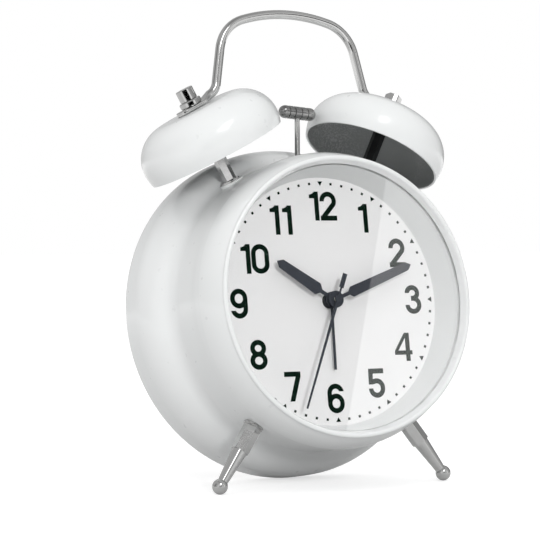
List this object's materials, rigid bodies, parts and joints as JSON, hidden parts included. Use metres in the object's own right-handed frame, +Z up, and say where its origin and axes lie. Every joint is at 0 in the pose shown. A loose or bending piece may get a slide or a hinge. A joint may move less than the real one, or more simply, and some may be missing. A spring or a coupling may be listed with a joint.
{
  "type": "twin-bell alarm clock",
  "caption": "Round twin-bell desk alarm clock with carrying handle, striking hammer, battery movement, setting knobs and two ball feet.",
  "frame": {"origin": "middle of the clock's bounding box in plan, on the surface that it stands on", "axes": "+Z up, -Y towards the viewer of the dial, +X to the right of the dial; the dial leans back about 9 degrees"},
  "size_m": [0.116, 0.0734, 0.1655],
  "materials": {
    "white_enamel": "smooth gloss white enamel on pressed steel",
    "dial_print": "matt white printed dial",
    "white_moulding": "white moulded plastic",
    "glass": "clear flat glass",
    "hand_black": "satin dark blue-black lacquer",
    "polished_steel": "polished nickel-plated steel",
    "steel": "bright steel",
    "black_moulding": "black moulded plastic, fine texture",
    "grey_moulding": "grey moulded plastic",
    "acetal": "natural white acetal gear",
    "iron": "soft iron plate",
    "copper_wire": "enamelled copper winding",
    "board": "green glass-fibre board",
    "cell_label": "plain cell jacket"
  },
  "bodies": {
    "case": {"case_shell": "white_enamel", "bezel": "white_enamel", "glass_lens": "glass", "dial_ring": "white_moulding", "dial": "dial_print", "back_cover": "black_moulding", "chassis": "grey_moulding", "cover_screws": "steel", "battery_cell": "cell_label", "battery_plate_contact": "steel", "battery_spring_contact": "steel", "left_bell": "white_enamel", "right_bell": "white_enamel", "left_bell_post": "polished_steel", "right_bell_post": "polished_steel", "post_washers": "polished_steel", "post_lock_nuts": "steel", "bell_nuts": "polished_steel", "bell_cap_nuts": "polished_steel", "handle": "polished_steel", "left_leg": "polished_steel", "right_leg": "polished_steel", "leg_washers": "polished_steel", "leg_lock_nuts": "steel", "movement_front_plate": "black_moulding", "movement_middle_plate": "grey_moulding", "movement_housing": "black_moulding", "stepper_stator": "iron", "coil_bobbin": "grey_moulding", "coil_winding": "copper_wire", "circuit_board": "board", "quartz_crystal": "steel", "hammer_pivot_pin": "steel", "motor_can": "steel"},
    "alarm_hand_wheel": {"alarm_hand": "hand_black", "alarm_wheel": "acetal"},
    "hour_hand_wheel": {"hour_hand": "hand_black", "hour_wheel": "acetal"},
    "minute_hand_arbor": {"minute_hand": "hand_black", "minute_arbor": "acetal"},
    "second_hand_wheel": {"second_hand": "hand_black", "second_wheel": "acetal"},
    "motion_work": {"motion_wheel": "acetal"},
    "centre_gear": {"centre_wheel": "acetal"},
    "third_gear": {"third_wheel": "acetal"},
    "intermediate_gear": {"intermediate_wheel": "acetal"},
    "rotor": {"stepper_rotor": "iron"},
    "time_setter": {"time_set_stem": "steel", "time_set_knob": "black_moulding"},
    "alarm_setter": {"alarm_set_stem": "steel", "alarm_set_knob": "black_moulding"},
    "hammer": {"hammer_lever": "steel", "hammer_arm": "steel", "hammer_head": "polished_steel"},
    "crank": {"crank_gear": "acetal", "crank_clip": "steel"},
    "motor_shaft": {"motor_pinion": "acetal"},
    "switch": {"alarm_switch": "black_moulding"},
    "door": {"battery_door": "black_moulding"}
  },
  "joints": [
    {"name": "minute_spin", "type": "hinge", "parent": "case", "child": "minute_hand_arbor", "pos_m": [0, -0.01182, 0.06312], "axis": [0, 0.9873, -0.1589], "continuous": true},
    {"name": "hour_spin", "type": "hinge", "parent": "case", "child": "hour_hand_wheel", "pos_m": [0, -0.01182, 0.06312], "axis": [0, 0.9873, -0.1589], "continuous": true},
    {"name": "motion_spin", "type": "hinge", "parent": "case", "child": "motion_work", "pos_m": [-0.00849, -0.00849, 0.07118], "axis": [0, 0.9873, -0.1589], "continuous": true},
    {"name": "time_set_spin", "type": "hinge", "parent": "case", "child": "time_setter", "pos_m": [-0.01242, 0.00558, 0.05797], "axis": [0, 0.9873, -0.1589], "continuous": true},
    {"name": "second_spin", "type": "hinge", "parent": "case", "child": "second_hand_wheel", "pos_m": [0, -0.00984, 0.06281], "axis": [0, 0.9873, -0.1589], "continuous": true},
    {"name": "third_spin", "type": "hinge", "parent": "case", "child": "third_gear", "pos_m": [0, -0.00333, 0.07179], "axis": [0, 0.9873, -0.1589], "continuous": true},
    {"name": "centre_spin", "type": "hinge", "parent": "case", "child": "centre_gear", "pos_m": [0, -0.0055, 0.06211], "axis": [0, 0.9873, -0.1589], "continuous": true},
    {"name": "intermediate_spin", "type": "hinge", "parent": "case", "child": "intermediate_gear", "pos_m": [0.0051, -0.00434, 0.05297], "axis": [0, 0.9873, -0.1589], "continuous": true},
    {"name": "rotor_spin", "type": "hinge", "parent": "case", "child": "rotor", "pos_m": [0.0103, -0.00383, 0.04985], "axis": [0, 0.9873, -0.1589], "continuous": true},
    {"name": "alarm_hand_spin", "type": "hinge", "parent": "case", "child": "alarm_hand_wheel", "pos_m": [0, -0.01281, 0.06328], "axis": [0, 0.9873, -0.1589], "continuous": true},
    {"name": "alarm_set_spin", "type": "hinge", "parent": "case", "child": "alarm_setter", "pos_m": [0.01228, 0.00558, 0.05797], "axis": [0, 0.9873, -0.1589], "continuous": true},
    {"name": "crank_spin", "type": "hinge", "parent": "case", "child": "crank", "pos_m": [0, 0.00831, 0.09381], "axis": [0, 0.9873, -0.1589], "continuous": true},
    {"name": "motor_spin", "type": "hinge", "parent": "case", "child": "motor_shaft", "pos_m": [0.00825, 0.00831, 0.09381], "axis": [0, 0.9873, -0.1589], "continuous": true},
    {"name": "hammer_swing", "type": "hinge", "parent": "case", "child": "hammer", "pos_m": [0, 0.00752, 0.10457], "axis": [0, 0.9873, -0.1589], "range_deg": [-10.3, 0.7]},
    {"name": "alarm_switch_slide", "type": "slide", "parent": "case", "child": "switch", "axis": [1, 0, 0], "range_m": [0, 0.005]},
    {"name": "battery_door_hinge", "type": "hinge", "parent": "case", "child": "door", "pos_m": [0, 0.02107, 0.02329], "axis": [-1, 0, 0], "range_deg": [0, 100]}
  ],
  "couplings": [
    {"joint": "hour_spin", "follows": "minute_spin", "ratio": 0.083333},
    {"joint": "motion_spin", "follows": "minute_spin", "ratio": -0.33333},
    {"joint": "time_set_spin", "follows": "minute_spin", "ratio": 1.2},
    {"joint": "third_spin", "follows": "second_spin", "ratio": -0.1},
    {"joint": "centre_spin", "follows": "second_spin", "ratio": 0.016667},
    {"joint": "intermediate_spin", "follows": "second_spin", "ratio": -7.5},
    {"joint": "rotor_spin", "follows": "second_spin", "ratio": 30},
    {"joint": "alarm_set_spin", "follows": "alarm_hand_spin", "ratio": -4},
    {"joint": "motor_spin", "follows": "crank_spin", "ratio": -2.6667}
  ]
}
